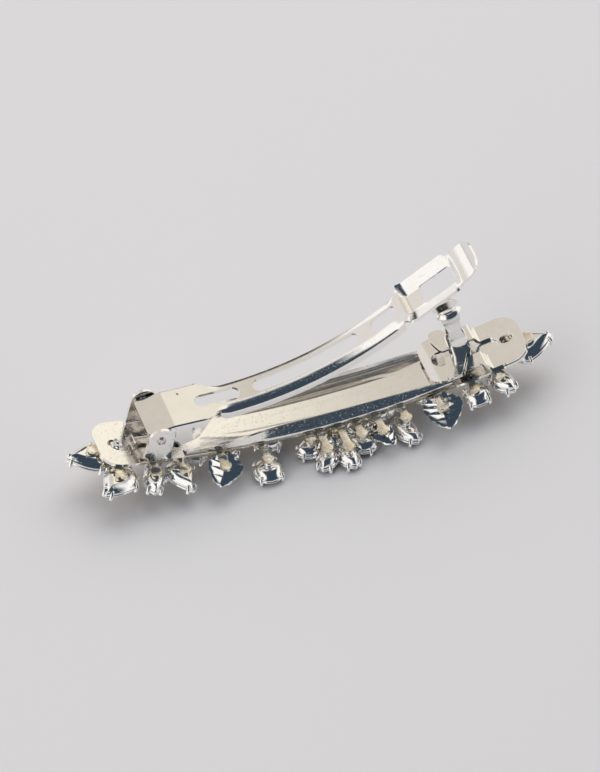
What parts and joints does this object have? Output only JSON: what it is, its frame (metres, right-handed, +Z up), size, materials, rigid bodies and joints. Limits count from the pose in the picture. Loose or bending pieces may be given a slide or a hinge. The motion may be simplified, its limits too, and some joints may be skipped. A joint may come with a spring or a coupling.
{
  "type": "hair clip",
  "caption": "Open hair barrette: curved stamped base, hinged clasp arm with slots and a catch window, two-prong spring catch, and a rhinestone spray of claw settings beneath",
  "frame": {"origin": "bottom centre of the clip's bounding box, on the surface that the claws stand on", "axes": "+X from the hinge to the catch, +Y across the clip, +Z up, out of the mechanism side"},
  "size_m": [0.0912, 0.0188, 0.0352],
  "materials": {
    "base_plating": "bright silver plating over stamped steel, mirror smooth with faint drawing lines",
    "clasp_plate": "bright silver plating over a stamped spring-steel arm",
    "pin_steel": "plated steel pin with a rough peened end",
    "setting_plate": "bright silver plated claw settings and leaves",
    "lattice_plate": "silver plating in shade, slightly warm",
    "crystal": "clear faceted rhinestone with a foil back"
  },
  "bodies": {
    "base": {"backing_lattice": "lattice_plate", "base_plate": "base_plating", "catch_foot": "base_plating", "drum_round_setting": "setting_plate", "drum_round_stone": "crystal", "end_plate": "base_plating", "far_left_pear_setting": "setting_plate", "far_left_pear_stone": "crystal", "far_marquise_settings": "setting_plate", "far_marquise_stones": "crystal", "far_middle_left_pear_setting": "setting_plate", "far_middle_left_pear_stone": "crystal", "far_middle_pear_setting": "setting_plate", "far_middle_pear_stone": "crystal", "far_middle_right_pear_setting": "setting_plate", "far_middle_right_pear_stone": "crystal", "far_right_pear_setting": "setting_plate", "far_right_pear_stone": "crystal", "flower_centre_setting": "setting_plate", "flower_centre_stone": "crystal", "flower_petal_settings": "setting_plate", "flower_petal_stones": "crystal", "folded_leaf": "setting_plate", "hinge_pin": "pin_steel", "inner_left_pear_setting": "setting_plate", "inner_left_pear_stone": "crystal", "inner_marquise_settings": "setting_plate", "inner_marquise_stones": "crystal", "inner_right_pear_setting": "setting_plate", "inner_right_pear_stone": "crystal", "left_corner_pear_setting": "setting_plate", "left_corner_pear_stone": "crystal", "left_end_pear_setting": "setting_plate", "left_end_pear_stone": "crystal", "left_lower_pear_setting": "setting_plate", "left_lower_pear_stone": "crystal", "left_marquise_setting": "setting_plate", "left_marquise_stone": "crystal", "open_back_round_setting": "setting_plate", "open_back_round_stone": "crystal", "ribbed_leaf_left": "setting_plate", "ribbed_leaf_right": "setting_plate", "right_end_pear_setting": "setting_plate", "right_end_pear_stone": "crystal", "right_lower_marquise_setting": "setting_plate", "right_lower_marquise_stone": "crystal", "right_marquise_setting": "setting_plate", "right_marquise_stone": "crystal", "small_round_settings": "setting_plate", "small_round_stones": "crystal"},
    "arm": {"clasp_arm": "clasp_plate"},
    "near_prong": {"catch_prong_near": "base_plating"},
    "far_prong": {"catch_prong_far": "base_plating"}
  },
  "joints": [
    {"name": "arm_hinge", "type": "hinge", "parent": "base", "child": "arm", "pos_m": [-0.02964, 0.0034, 0.01296], "axis": [0, -1, 0], "range_deg": [-12.2, 85]},
    {"name": "near_prong_flex", "type": "hinge", "parent": "base", "child": "near_prong", "pos_m": [0.02875, 0.0024, 0.00852], "axis": [-0.9836, 0, -0.1806], "range_deg": [0, 2.6], "stiffness_Nm_per_rad": 0.02},
    {"name": "far_prong_flex", "type": "hinge", "parent": "base", "child": "far_prong", "pos_m": [0.02875, 0.0044, 0.00852], "axis": [0.9836, 0, 0.1806], "range_deg": [0, 2.6], "stiffness_Nm_per_rad": 0.02}
  ],
  "couplings": [
    {"joint": "far_prong_flex", "follows": "near_prong_flex", "ratio": 1}
  ]
}
